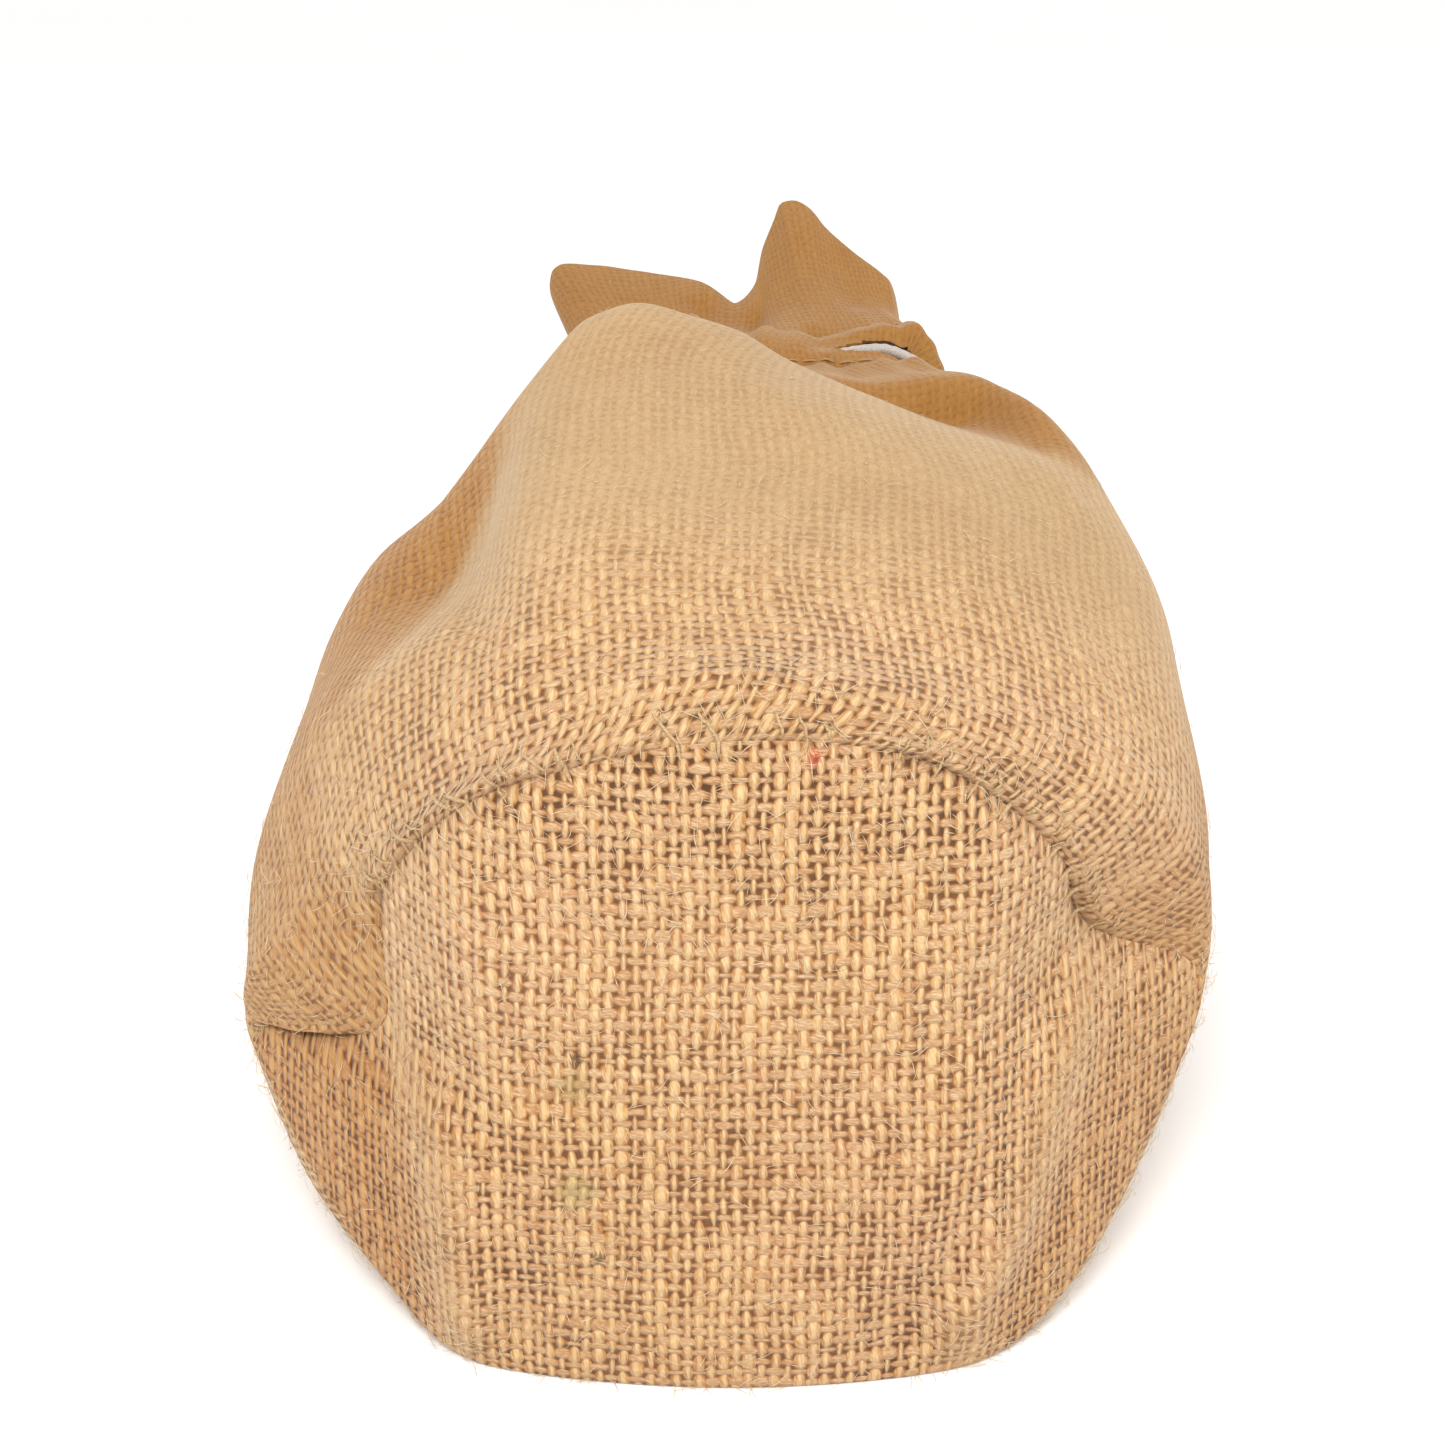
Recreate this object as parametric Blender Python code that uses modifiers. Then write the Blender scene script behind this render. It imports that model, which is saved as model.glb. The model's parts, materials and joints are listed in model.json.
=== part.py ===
"""Hessian drawstring sack, stuffed full and lying on its side.

The sack lies along +Y on the floor z = 0: its round base faces -Y and its gathered mouth
faces +Y. The cloth is a tube sewn to a round base. Near the mouth the tube is turned in and
stitched twice, which makes the channel that the drawstring runs in, and the frill past it.
All sizes are in metres.
"""

import math

import bpy
import numpy as np
from mathutils import Matrix, Vector

# ------------------------------------------------------------------ driving dimensions
CLOTH = 0.0012           # thickness of one layer of hessian
LAYER_GAP = 0.0006       # air between two layers that lie on each other
SPLIT_GAP = 0.0004       # air between two zones of the one cloth tube
THREAD_RADIUS = 0.0004
CORD_RADIUS = 0.00125

BASE_Y = -0.139          # where the middle of the base panel stands
BASE_HEIGHT = 0.125
BASE_HALF_WIDTH = 0.097
BASE_LEAN = 0.029        # the base's top edge lies this much behind its bottom edge
BASE_BULGE = 0.003
FLANK_START = 0.060      # past this half width the base bends back
FLANK_BACK = 0.050       # how far back its left and right ends lie
BODY_START = 0.0026      # the tube starts this far behind the base panel's edge
SEAM_ROWS = (0.006, 0.010, 0.014)   # the turned-in edges of both cloths lie here, inside
SHOULDER_Y = 0.165       # where the body ends and the gathers begin, from the base
CHANNEL_START = 0.2023   # the drawstring channel's first stitch row, from the base
CHANNEL_END = 0.2277     # its second stitch row
CHANNEL_BULGE = 0.0047   # how far the channel's outer layer stands out over the cord
CHANNEL_DEPTH = 0.0042   # how far its inner layer lies inside the stitch rows
FRILL_START = 0.2281
FRILL_LENGTH = 0.052
FRILL_FLARE = 0.013
FRILL_WAVE = 0.011
FRILL_WAVES = 6
FRILL_PEAK = math.radians(77)   # one wave's crest stands here, seen along +Y from +X
FACING_INSET = 0.0024

NECK_X = 0.0055
NECK_Z = 0.095
NECK_HALF_WIDTH = 0.0485
NECK_HALF_HEIGHT = 0.046
NECK_POWER = 4.0
NECK_HINGE_Y = 0.190

CORD_Y = 0.215           # the drawstring's loop, from the base
TAIL_SPREAD = 0.004      # each tail lies this far to one side of the loop
CORD_Z = 0.1405          # height at which the tails run in the channel and leave it
TAIL_X = 0.0625          # where the tails hang
TAIL_HINGE_Z = 0.0965
TAIL_ENDS = {"a": 0.0320, "b": 0.0240}   # height of each tail's end, above its knot
KNOT_RADIUS = 0.0036
KNOT_HEIGHT = 0.0071
TIP_LENGTH = 0.0080

AROUND = 40              # points around the body
FRILL_AROUND = 72

# The body's cross-sections, from the base to the neck: distance behind the base, middle, half
# width, bottom, top, squareness, and how far the base's own shape still shows.
# A bottom below zero is pressed flat by the floor.
SECTIONS = np.array([
    (0.000, 0.000, 0.0970, -0.003, 0.125, 2.05, 1.00),
    (0.003, 0.000, 0.0978, -0.004, 0.127, 2.05, 1.00),
    (0.012, 0.000, 0.0990, -0.005, 0.134, 2.1, 0.95),
    (0.030, 0.001, 0.0995, -0.006, 0.140, 2.2, 0.75),
    (0.060, 0.002, 0.0975, -0.006, 0.147, 2.3, 0.45),
    (0.090, 0.005, 0.0940, -0.006, 0.153, 2.4, 0.20),
    (0.120, 0.007, 0.0860, -0.005, 0.160, 2.5, 0.05),
    (0.145, 0.008, 0.0750, -0.002, 0.164, 2.6, 0.00),
    (0.165, 0.007, 0.0660, 0.005, 0.160, 2.7, 0.00),
    (0.185, 0.006, 0.0560, 0.026, 0.150, 3.2, 0.00),
    (0.202, 0.0055, 0.0485, 0.049, 0.141, 4.0, 0.00),
])

HESSIAN = (0.66, 0.47, 0.28)
THREAD = (0.74, 0.62, 0.45)
COTTON = (0.82, 0.78, 0.72)


# ------------------------------------------------------------------ scene and materials
def clear_scene():
    for thing in list(bpy.data.objects):
        bpy.data.objects.remove(thing, do_unlink=True)


def make_collection(name):
    collection = bpy.data.collections.new(name)
    bpy.context.scene.collection.children.link(collection)
    return collection


def make_material(name, colour, roughness):
    material = bpy.data.materials.new(name)
    material.use_nodes = True
    shader = material.node_tree.nodes["Principled BSDF"]
    shader.inputs["Base Color"].default_value = (*colour, 1.0)
    shader.inputs["Roughness"].default_value = roughness
    shader.inputs["Metallic"].default_value = 0.0
    return material


def add_object(name, data, colour, parent, roughness=0.9):
    piece = bpy.data.objects.new(name, data)
    sack.objects.link(piece)
    piece.data.materials.append(make_material(name, colour, roughness))
    if parent is not None:
        piece.parent = parent
        piece.matrix_parent_inverse = parent.matrix_world.inverted()
    return piece


def add_pivot(name, place, parent):
    pivot = bpy.data.objects.new(name, None)
    sack.objects.link(pivot)
    pivot.location = place
    pivot.empty_display_size = 0.01
    bpy.context.view_layer.update()
    if parent is not None:
        pivot.parent = parent
        pivot.matrix_parent_inverse = parent.matrix_world.inverted()
        bpy.context.view_layer.update()
    return pivot


# ------------------------------------------------------------------ shapes
def stretch(x, y, z):
    return Matrix.Diagonal((x, y, z, 1.0))


def angles(count):
    return [2 * math.pi * k / count for k in range(count)]


def section_at(distance):
    """The section at a distance behind the base, on curves through SECTIONS that never overshoot."""
    stations = SECTIONS[:, 0]
    rises = np.diff(SECTIONS, axis=0) / np.diff(stations)[:, None]
    slopes = np.vstack([rises[:1], (rises[:-1] + rises[1:]) / 2, rises[-1:]])
    for k in range(1, len(stations) - 1):
        limit = 1.5 * np.minimum(abs(rises[k - 1]), abs(rises[k]))
        limit[rises[k - 1] * rises[k] < 0] = 0.0
        slopes[k] = np.clip(slopes[k], -limit, limit)
    k = int(np.clip(np.searchsorted(stations, distance) - 1, 0, len(stations) - 2))
    span = stations[k + 1] - stations[k]
    t = (distance - stations[k]) / span
    return (
        SECTIONS[k] * (2 * t**3 - 3 * t**2 + 1)
        + slopes[k] * span * (t**3 - 2 * t**2 + t)
        + SECTIONS[k + 1] * (3 * t**2 - 2 * t**3)
        + slopes[k + 1] * span * (t**3 - t**2)
    )


def base_shape(x, z):
    """How far behind the base's middle its surface lies: it leans, and its flanks bend back."""
    lean = BASE_LEAN * (z / BASE_HEIGHT - 0.5)
    beyond = max(0.0, abs(x) - FLANK_START) / (BASE_HALF_WIDTH - FLANK_START)
    return lean + FLANK_BACK * beyond**1.2


def oval(angle, half_width, half_height, power):
    """A point of a superellipse: an ellipse at power 2, squarer above it."""
    c, s = math.cos(angle), math.sin(angle)
    x = half_width * math.copysign(abs(c) ** (2 / power), c)
    z = half_height * math.copysign(abs(s) ** (2 / power), s)
    return x, z


def body_point(angle, distance, inset=0.0):
    """A point of the body's surface, inset from the outside, never below the floor."""
    _, middle, half_width, bottom, top, power, follow = section_at(distance)
    x, z = oval(angle, half_width - inset, (top - bottom) / 2 - inset, power)
    z = max(z + (top + bottom) / 2, inset)
    rim_x, rim_z = oval(angle, BASE_HALF_WIDTH, BASE_HEIGHT / 2, SECTIONS[0][5])
    y = BASE_Y + distance + follow * base_shape(rim_x, max(rim_z + BASE_HEIGHT / 2, 0.0))
    return Vector((x + middle, y, z))


def neck_point(angle, distance, grow):
    """A point of the ring around the neck, grown outwards from the stitch rows."""
    x, z = oval(angle, NECK_HALF_WIDTH + grow, NECK_HALF_HEIGHT + grow, NECK_POWER)
    return Vector((NECK_X + x, BASE_Y + distance, NECK_Z + z))


def frill_point(angle, share, grow):
    """A point of the frill, from its stitch row (share 0) to the mouth's edge (share 1)."""
    wave = math.cos(FRILL_WAVES * (angle - FRILL_PEAK))
    start = neck_point(angle, FRILL_START, grow)
    outwards = Vector((start.x - NECK_X, 0, start.z - NECK_Z)).normalized()
    length = FRILL_LENGTH * (1.08 + 0.14 * wave)
    flare = share**1.3 * (FRILL_FLARE + FRILL_WAVE * wave)
    return start + outwards * flare + Vector((0, length * share, 0))


def loft(name, rings, inwards=False, centre=None):
    """An open surface through rings of equally many points, each ring closed on itself."""
    count = len(rings[0])
    points = [p for ring in rings for p in ring]
    faces = []
    for row in range(len(rings) - 1):
        for k in range(count):
            a, b = row * count + k, row * count + (k + 1) % count
            faces.append((a, a + count, b + count, b))
    if centre is not None:
        points.append(centre)
        last = (len(rings) - 1) * count
        faces += [(last + k, len(points) - 1, last + (k + 1) % count) for k in range(count)]
    if inwards:
        faces = [face[::-1] for face in faces]
    mesh = bpy.data.meshes.new(name)
    mesh.from_pydata([tuple(p) for p in points], [], faces)
    mesh.update()
    mesh.shade_smooth()
    return mesh


def add_shell(name, rings, colour, parent, thickness=CLOTH, **options):
    piece = add_object(name, loft(name, rings, **options), colour, parent)
    solid = piece.modifiers.new("Cloth", "SOLIDIFY")
    solid.thickness = thickness
    solid.offset = -1.0
    return piece


def smooth_route(points, spacing):
    """Points at about an even spacing on a smooth curve through a route's own points."""
    ends = [2 * points[0] - points[1]] + points + [2 * points[-1] - points[-2]]
    route = []
    for k in range(1, len(ends) - 2):
        p0, p1, p2, p3 = ends[k - 1:k + 3]
        steps = max(1, round((p2 - p1).length / spacing))
        for step in range(steps):
            t = step / steps
            route.append(0.5 * (
                2 * p1 + (p2 - p0) * t + (2 * p0 - 5 * p1 + 4 * p2 - p3) * t**2
                + (3 * p1 - p0 - 3 * p2 + p3) * t**3
            ))
    return route + [points[-1]]


def add_tube(name, points, radius, colour, parent, closed=False):
    curve = bpy.data.curves.new(name, "CURVE")
    curve.dimensions = "3D"
    curve.bevel_depth = radius
    curve.bevel_resolution = 2
    curve.use_fill_caps = not closed
    spline = curve.splines.new("POLY")
    spline.points.add(len(points) - 1)
    for slot, place in zip(spline.points, points):
        slot.co = (*place, 1.0)
    spline.use_cyclic_u = closed
    return add_object(name, curve, colour, parent)


def add_turned(name, profile, place, colour, parent):
    """A closed turned shape from (radius, height) points that run down its outer side."""
    mesh = bpy.data.meshes.new(name)
    mesh.from_pydata([(r, 0, h) for r, h in profile], [(k, k + 1) for k in range(len(profile) - 1)], [])
    piece = add_object(name, mesh, colour, None)
    screw = piece.modifiers.new("Turn", "SCREW")
    screw.steps = screw.render_steps = 16
    screw.use_merge_vertices = True
    screw.merge_threshold = 0.00001
    piece.location = place
    bpy.context.view_layer.update()
    piece.parent = parent
    piece.matrix_parent_inverse = parent.matrix_world.inverted()
    return piece


# ------------------------------------------------------------------ the sack
def make_body():
    rows = [BODY_START, *SEAM_ROWS, 0.022, 0.034, 0.046, 0.060, 0.075, 0.090, 0.105, 0.120, 0.135,
            0.150, SHOULDER_Y]
    add_shell("body_panel", [[body_point(a, d) for a in angles(AROUND)] for d in rows], HESSIAN, None)


def make_gathers():
    rows = [SHOULDER_Y + SPLIT_GAP, 0.175, 0.184, 0.193, CHANNEL_START - SPLIT_GAP]
    add_shell("neck_gathers", [[body_point(a, d) for a in angles(AROUND)] for d in rows], HESSIAN, None)


def base_point(angle, reach):
    """A point of the base panel, from its middle (reach 0) to its edge (reach 1)."""
    edge = body_point(angle, 0.0)
    middle_z = BASE_HEIGHT / 2
    x = edge.x * reach
    z = max(middle_z + (edge.z - middle_z) * reach, 0.0006)
    y = BASE_Y + base_shape(x, z) - BASE_BULGE * (1 - reach**2)
    return Vector((x, y, z))


def make_base():
    reaches = (1.0, 0.92, 0.83, 0.74, 0.65, 0.56, 0.38, 0.19)
    rings = [[base_point(a, reach) for a in angles(AROUND)] for reach in reaches]
    add_shell("base_panel", rings, HESSIAN, None, centre=base_point(0.0, 0.0), inwards=True)


def make_base_seam():
    inset = CLOTH + LAYER_GAP
    band = 0.0020
    rings = [[body_point(a, d, inset) for a in angles(AROUND)] for d in SEAM_ROWS]
    add_shell("base_seam_allowance", rings, HESSIAN, None, thickness=band)
    thread_inset = inset + band + THREAD_RADIUS + 0.0018
    row = [body_point(a, SEAM_ROWS[1], thread_inset) for a in angles(AROUND)]
    add_tube("base_seam_stitching", row, THREAD_RADIUS, THREAD, None, closed=True)


def make_side_seam():
    start, end = 0.036, 0.126
    width, height = 0.012, 0.0018
    bpy.ops.mesh.primitive_cube_add(size=1)
    strip = bpy.context.object
    strip.name = "side_seam_allowance"
    strip.data.name = "side_seam_allowance"
    strip.data.transform(stretch(width, end - start, height))
    strip.location = (0.003, BASE_Y + (start + end) / 2, CLOTH + LAYER_GAP + height / 2)
    for home in list(strip.users_collection):
        home.objects.unlink(strip)
    sack.objects.link(strip)
    strip.data.materials.append(make_material(strip.name, HESSIAN, 0.9))
    soften = strip.modifiers.new("Soften", "BEVEL")
    soften.width = 0.0005
    soften.segments = 2
    row_z = CLOTH + LAYER_GAP + THREAD_RADIUS
    row = [Vector((0.0105, BASE_Y + start + (end - start) * k / 12, row_z)) for k in range(13)]
    add_tube("side_seam_stitching", row, THREAD_RADIUS, THREAD, None)


# ------------------------------------------------------------------ the neck and the mouth
def make_channel(neck):
    middle = (CHANNEL_START + CHANNEL_END) / 2
    half = (CHANNEL_END - CHANNEL_START) / 2
    rings = []
    for share in (-1.0, -0.72, -0.35, 0.0, 0.35, 0.72, 1.0):
        grow = CHANNEL_BULGE * (1 - share**2) ** 0.8
        rings.append([neck_point(a, middle + half * share, grow) for a in angles(AROUND)])
    outer = add_shell("casing_outer", rings, HESSIAN, neck)
    cut_slit(outer)
    rings = []
    for share in (-0.98, 0.0, 0.98):
        rings.append([neck_point(a, middle + half * share, -CHANNEL_DEPTH) for a in angles(AROUND)])
    add_shell("casing_inner", rings, HESSIAN, neck)


def cut_slit(outer):
    """The slit that both tails leave the channel by."""
    bpy.ops.mesh.primitive_cube_add(size=1)
    cutter = bpy.context.object
    cutter.name = "slit_cutter"
    cutter.data.transform(stretch(0.0300, 0.0126, 0.0180))
    cutter.location = (0.0420, BASE_Y + CORD_Y, CORD_Z + 0.0020)
    for home in list(cutter.users_collection):
        home.objects.unlink(cutter)
    cutters.objects.link(cutter)
    cutter.hide_render = True
    cutter.display_type = "WIRE"
    cut = outer.modifiers.new("Slit", "BOOLEAN")
    cut.operation = "DIFFERENCE"
    cut.solver = "EXACT"
    cut.object = cutter


def make_channel_stitching(neck):
    stand_off = THREAD_RADIUS + 0.0004
    for name, distance in (("casing_lower_stitching", CHANNEL_START + 0.0012),
                           ("casing_upper_stitching", CHANNEL_END - 0.0012)):
        share = (distance - (CHANNEL_START + CHANNEL_END) / 2) / ((CHANNEL_END - CHANNEL_START) / 2)
        grow = CHANNEL_BULGE * (1 - share**2) ** 0.8 + stand_off + 0.0004
        row = [neck_point(a, distance, grow) for a in angles(AROUND)]
        add_tube(name, row, THREAD_RADIUS, THREAD, neck, closed=True)


def make_frill(neck):
    for name, grow in (("mouth_ruffle", 0.0), ("mouth_facing", -FACING_INSET)):
        rings = [[frill_point(a, share, grow) for a in angles(FRILL_AROUND)]
                 for share in (0.0, 0.25, 0.5, 0.75, 1.0)]
        add_shell(name, rings, HESSIAN, neck)


# ------------------------------------------------------------------ the drawstring
def make_loop(neck):
    """The drawstring's hidden run in the channel, open at the slit."""
    first, last = math.radians(62), math.radians(50 + 360)
    count = 64
    row = [neck_point(first + (last - first) * k / (count - 1), CORD_Y, -0.001) for k in range(count)]
    add_tube("drawstring_loop", row[::-1], CORD_RADIUS, COTTON, neck)


def tail_route(y):
    """One tail: slack held in the channel, out of the slit, and down the neck's side."""
    places = [(-0.015, CORD_Z), (0.010, CORD_Z), (0.026, CORD_Z), (0.0335, 0.1417), (0.0405, 0.1424),
              (0.0478, 0.1400), (0.0545, 0.1354), (0.0595, 0.1285), (0.0620, 0.1190), (TAIL_X, 0.1080),
              (TAIL_X, TAIL_HINGE_Z + 0.0010)]
    return smooth_route([Vector((x, y, z)) for x, z in places], 2.4 * 2 * CORD_RADIUS)


def make_tail(letter, side, drawstring):
    y = BASE_Y + CORD_Y + side * TAIL_SPREAD
    add_tube(f"tail_{letter}_run", tail_route(y), CORD_RADIUS, COTTON, drawstring)
    pivot = add_pivot(f"tail_{letter}_pivot", (TAIL_X, y, TAIL_HINGE_Z), drawstring)
    end = TAIL_ENDS[letter]
    top = TAIL_HINGE_Z - 0.0007
    sway = 0.0004
    places = [(TAIL_X, top), (TAIL_X + sway, top - 0.018), (TAIL_X - sway, (top + end) / 2 - 0.006),
              (TAIL_X, end + 0.012), (TAIL_X, end)]
    route = smooth_route([Vector((x, y, z)) for x, z in places], 2.4 * 2 * CORD_RADIUS)
    add_tube(f"tail_{letter}_hang", route, CORD_RADIUS, COTTON, pivot)
    half = KNOT_HEIGHT / 2
    profile = [(0, half), (0.55 * KNOT_RADIUS, 0.92 * half), (0.9 * KNOT_RADIUS, 0.55 * half),
               (KNOT_RADIUS, 0), (0.9 * KNOT_RADIUS, -0.55 * half), (0.55 * KNOT_RADIUS, -0.92 * half),
               (0, -half)]
    knot_z = end - 0.0003 - half
    add_turned(f"knot_{letter}", profile, (TAIL_X, y, knot_z), COTTON, pivot)
    tip_top = knot_z - half - 0.0003
    tip = [Vector((TAIL_X, y, tip_top - TIP_LENGTH * k / 2)) for k in range(3)]
    add_tube(f"tip_{letter}", tip, CORD_RADIUS, COTTON, pivot)


clear_scene()
sack = make_collection("drawstring_sack")
cutters = make_collection("cutters")

make_body()
make_gathers()
make_base()
make_base_seam()
make_side_seam()

neck_pivot = add_pivot("neck_pivot", (NECK_X, BASE_Y + NECK_HINGE_Y, NECK_Z), None)
make_channel(neck_pivot)
make_channel_stitching(neck_pivot)
make_frill(neck_pivot)
make_loop(neck_pivot)

drawstring_pivot = add_pivot("drawstring_pivot", (0.043, BASE_Y + CORD_Y, CORD_Z), neck_pivot)
make_tail("a", -1, drawstring_pivot)
make_tail("b", 1, drawstring_pivot)
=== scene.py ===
import json
import math

import bmesh
import bpy
import numpy as np
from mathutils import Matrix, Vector

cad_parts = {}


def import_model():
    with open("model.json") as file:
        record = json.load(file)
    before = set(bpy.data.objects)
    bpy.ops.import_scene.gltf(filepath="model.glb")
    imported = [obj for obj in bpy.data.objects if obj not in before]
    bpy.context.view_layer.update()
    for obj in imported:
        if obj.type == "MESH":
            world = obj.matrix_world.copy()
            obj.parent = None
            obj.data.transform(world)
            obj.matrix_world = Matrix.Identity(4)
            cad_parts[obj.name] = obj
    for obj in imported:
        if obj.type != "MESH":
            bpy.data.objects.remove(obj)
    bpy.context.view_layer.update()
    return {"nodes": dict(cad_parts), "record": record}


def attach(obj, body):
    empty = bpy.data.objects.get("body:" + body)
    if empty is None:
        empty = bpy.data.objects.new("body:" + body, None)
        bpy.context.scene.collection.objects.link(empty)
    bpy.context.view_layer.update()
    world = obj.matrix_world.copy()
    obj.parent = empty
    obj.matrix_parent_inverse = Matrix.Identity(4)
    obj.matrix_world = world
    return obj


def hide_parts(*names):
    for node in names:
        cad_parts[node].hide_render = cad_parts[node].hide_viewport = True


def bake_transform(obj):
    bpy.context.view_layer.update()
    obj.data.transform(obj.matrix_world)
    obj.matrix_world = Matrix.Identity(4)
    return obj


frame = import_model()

rng = np.random.default_rng(7)

# A stuffed hessian sack lies on its side. Lengths are in mm: x to the right, y away from the
# middle of its base, z up.
MM = 0.001
BASE_Y = -139.0          # where the base's middle stands in the frame, as in the CAD
PITCH = 2.4              # one yarn of the cloth to the next
COLUMNS = 222            # yarns around the sack
CLOTH = 1.2              # the cloth's thickness


def world(points):
    """Points in mm, with y counted from the base's middle, to the frame in metres."""
    return (np.asarray(points, float) + (0.0, BASE_Y, 0.0)) * MM


# -------------------- camera
CAMERA_PLACE = (0.0, -349.0, 297.5)
CAMERA_TILT = 65.0       # degrees up from straight down
LENS = 55.5
SENSOR = 36.0

camera = bpy.data.objects.new("camera", bpy.data.cameras.new("camera"))
bpy.context.scene.collection.objects.link(camera)
camera.location = world(CAMERA_PLACE)
camera.rotation_euler = (math.radians(CAMERA_TILT), 0.0, 0.0)
camera.data.lens = LENS
camera.data.sensor_width = SENSOR
camera.data.clip_start = 0.01
bpy.context.scene.camera = camera
bpy.context.scene.view_settings.view_transform = "Standard"


# -------------------- colours of the jute, and the shade and highlights painted on it
GOLD_DARK = (0.437, 0.202, 0.057)           # the warp yarns, darkest and lightest
GOLD_LIGHT = (0.595, 0.361, 0.146)
CREAM_DARK = (0.456, 0.248, 0.112)          # the weft yarns
CREAM_LIGHT = (0.577, 0.383, 0.211)
PINKISH = (0.530, 0.300, 0.182)             # broad patches of the cloth
SHADE = (0.290, 0.108, 0.028)               # where a yarn sinks, and between its fibres
HIGHLIGHT_AND_PALE_FIBRE = (0.744, 0.592, 0.365)           # painted highlight on a yarn's crown, and the pale colour of stray fibres
GAP_SHADE = (0.050, 0.018, 0.006)                 # painted shade in the gaps between the yarns
PLAIN_DARK = (0.318, 0.192, 0.089)          # far cloth, where the weave is faint
PLAIN_LIGHT = (0.396, 0.275, 0.141)
SHADE_TINT = (0.75, 0.55, 0.28)               # multiplies the colour where shade is painted on the cloth
GREEN = (0.23, 0.22, 0.07)                  # stains
DARK = (0.06, 0.03, 0.015)
RED = (0.42, 0.06, 0.03)


# -------------------- where the base lies
BASE_HEIGHT = 125.0
BASE_MIDDLE = np.array([1.0, 0.0, 62.0])
LEAN = 29.0              # how much further back its top is than its bottom
FLANK_X = 50.0           # from here out its flanks bend back
FLANK_WIDTH = 47.0
FLANK_DEPTH = 48.0
SLOPE_LENGTH = 1.027     # length up the leaning base for one of height
BASE_YARN = 400.3        # the yarn at x = 0, far from the tube's 0 to 222


def lean(x, z):
    """How far behind its middle the base lies: it leans back, and its flanks bend back."""
    u = (abs(x) - FLANK_X) / FLANK_WIDTH
    return LEAN * (z / BASE_HEIGHT - 0.5) + FLANK_DEPTH * (u + np.sqrt(u * u + 0.02)) / 2


def unrolled(x):
    """Length along the base's surface from its middle out to x."""
    reach, step = 110.0, 0.5
    flat_x = np.linspace(-reach, reach, int(2 * reach / step) + 1)
    slope = np.gradient(lean(flat_x, BASE_MIDDLE[2]), flat_x)
    length = np.concatenate([[0], np.cumsum(np.sqrt(1 + ((slope[1:] + slope[:-1]) / 2) ** 2) * step)])
    length -= np.interp(0, flat_x, length)
    return np.interp(x, flat_x, length)


def base_yarns(x, z):
    """The base's own yarn numbers, across and up."""
    return unrolled(x) / PITCH + BASE_YARN, np.asarray(z) * SLOPE_LENGTH / PITCH


def yarn_place(x, z):
    """The yarn numbers of one place on the base, as a node takes them."""
    return [float(value) for value in base_yarns(x, z)]


# Small stains on the base: x, z, reach in yarns, strength, colour.
STAINS = [(-27.7, 61.0, 1.9, 0.30, GREEN), (-27.3, 41.5, 2.3, 0.38, GREEN), (-27.2, 66.5, 0.7, 0.8, DARK),
          (-23.2, 27.5, 0.7, 0.7, DARK), (16.5, 121.5, 0.9, 0.8, RED)]


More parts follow.
